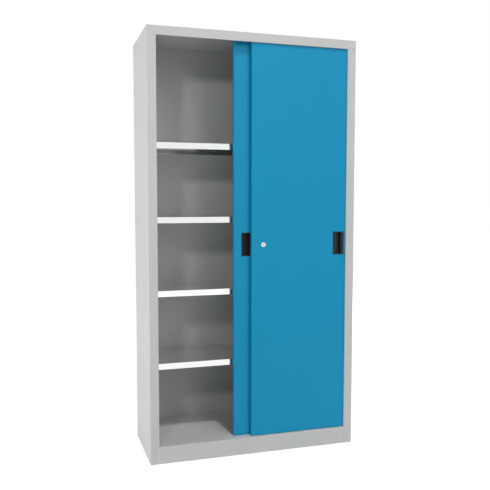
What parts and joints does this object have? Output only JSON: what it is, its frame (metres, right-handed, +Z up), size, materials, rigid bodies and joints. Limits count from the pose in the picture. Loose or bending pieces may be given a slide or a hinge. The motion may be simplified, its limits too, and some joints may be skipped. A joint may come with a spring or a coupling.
{
  "type": "sliding door cabinet",
  "caption": "Tall sheet steel cabinet with two overlapping sliding doors, galvanised adjustable shelves behind them, recessed shell handles and a cam lock.",
  "frame": {"origin": "on the floor, under the middle of the cabinet's footprint", "axes": "+X to the right and +Z up for someone who faces the doors, +Y from the doors to the back panel"},
  "size_m": [1, 0.4, 1.95],
  "materials": {
    "grey_paint": "light grey powder coat, semi-matt, very fine texture",
    "blue_paint": "light blue powder coat, semi-matt, very fine texture",
    "galvanised_steel": "bright galvanised sheet, faint rolling grain and spangle",
    "zinc_plated_steel": "bright zinc plating",
    "nickel": "nickel plated, bright",
    "black_plastic": "black moulded plastic, fine grain",
    "white_nylon": "natural nylon",
    "black_rubber": "moulded rubber"
  },
  "bodies": {
    "carcass": {"left_side_panel": "grey_paint", "right_side_panel": "grey_paint", "top_panel": "grey_paint", "bottom_panel": "grey_paint", "back_panel": "grey_paint", "upright_left_front": "grey_paint", "upright_left_rear": "grey_paint", "upright_right_front": "grey_paint", "upright_right_rear": "grey_paint", "shelf_1": "galvanised_steel", "shelf_2": "galvanised_steel", "shelf_3": "galvanised_steel", "shelf_4": "galvanised_steel", "shelf_1_clip_left_front": "zinc_plated_steel", "shelf_1_clip_left_rear": "zinc_plated_steel", "shelf_1_clip_right_front": "zinc_plated_steel", "shelf_1_clip_right_rear": "zinc_plated_steel", "shelf_2_clip_left_front": "zinc_plated_steel", "shelf_2_clip_left_rear": "zinc_plated_steel", "shelf_2_clip_right_front": "zinc_plated_steel", "shelf_2_clip_right_rear": "zinc_plated_steel", "shelf_3_clip_left_front": "zinc_plated_steel", "shelf_3_clip_left_rear": "zinc_plated_steel", "shelf_3_clip_right_front": "zinc_plated_steel", "shelf_3_clip_right_rear": "zinc_plated_steel", "shelf_4_clip_left_front": "zinc_plated_steel", "shelf_4_clip_left_rear": "zinc_plated_steel", "shelf_4_clip_right_front": "zinc_plated_steel", "shelf_4_clip_right_rear": "zinc_plated_steel", "door_track": "zinc_plated_steel", "floor_guide_front": "white_nylon", "floor_guide_rear": "white_nylon", "door_stop_left_lower": "black_rubber", "door_stop_left_upper": "black_rubber", "door_stop_right_lower": "black_rubber", "door_stop_right_upper": "black_rubber"},
    "front_door": {"front_door_pan": "blue_paint", "front_door_stiffener": "blue_paint", "front_door_handle": "black_plastic", "front_door_hanger_left": "zinc_plated_steel", "front_door_hanger_right": "zinc_plated_steel", "lock_housing": "nickel", "lock_nut": "nickel"},
    "rear_door": {"rear_door_pan": "blue_paint", "rear_door_stiffener": "blue_paint", "rear_door_handle": "black_plastic", "rear_door_hanger_left": "zinc_plated_steel", "rear_door_hanger_right": "zinc_plated_steel", "rear_door_keeper": "zinc_plated_steel"},
    "front_roller_left": {"front_door_roller_left": "white_nylon"},
    "front_roller_right": {"front_door_roller_right": "white_nylon"},
    "rear_roller_left": {"rear_door_roller_left": "white_nylon"},
    "rear_roller_right": {"rear_door_roller_right": "white_nylon"},
    "lock_core": {"lock_plug": "nickel", "lock_cam": "zinc_plated_steel", "lock_cam_screw": "zinc_plated_steel"}
  },
  "joints": [
    {"name": "front_door_slide", "type": "slide", "parent": "carcass", "child": "front_door", "axis": [1, 0, 0], "range_m": [-0.471, 0]},
    {"name": "rear_door_slide", "type": "slide", "parent": "carcass", "child": "rear_door", "axis": [1, 0, 0], "range_m": [-0.393, 0.078]},
    {"name": "front_roller_left_turn", "type": "hinge", "parent": "front_door", "child": "front_roller_left", "pos_m": [0.053, -0.18, 1.9375], "axis": [0, 1, 0], "continuous": true},
    {"name": "front_roller_right_turn", "type": "hinge", "parent": "front_door", "child": "front_roller_right", "pos_m": [0.418, -0.18, 1.9375], "axis": [0, 1, 0], "continuous": true},
    {"name": "rear_roller_left_turn", "type": "hinge", "parent": "rear_door", "child": "rear_roller_left", "pos_m": [-0.025, -0.152, 1.9375], "axis": [0, 1, 0], "continuous": true},
    {"name": "rear_roller_right_turn", "type": "hinge", "parent": "rear_door", "child": "rear_roller_right", "pos_m": [0.34, -0.152, 1.9375], "axis": [0, 1, 0], "continuous": true},
    {"name": "lock_turn", "type": "hinge", "parent": "front_door", "child": "lock_core", "pos_m": [0.0405, -0.19, 0.989], "axis": [0, 1, 0], "range_deg": [0, 90]}
  ],
  "couplings": [
    {"joint": "front_roller_left_turn", "follows": "front_door_slide", "rad_per_m": 153.85},
    {"joint": "front_roller_right_turn", "follows": "front_door_slide", "rad_per_m": 153.85},
    {"joint": "rear_roller_left_turn", "follows": "rear_door_slide", "rad_per_m": 153.85},
    {"joint": "rear_roller_right_turn", "follows": "rear_door_slide", "rad_per_m": 153.85}
  ]
}
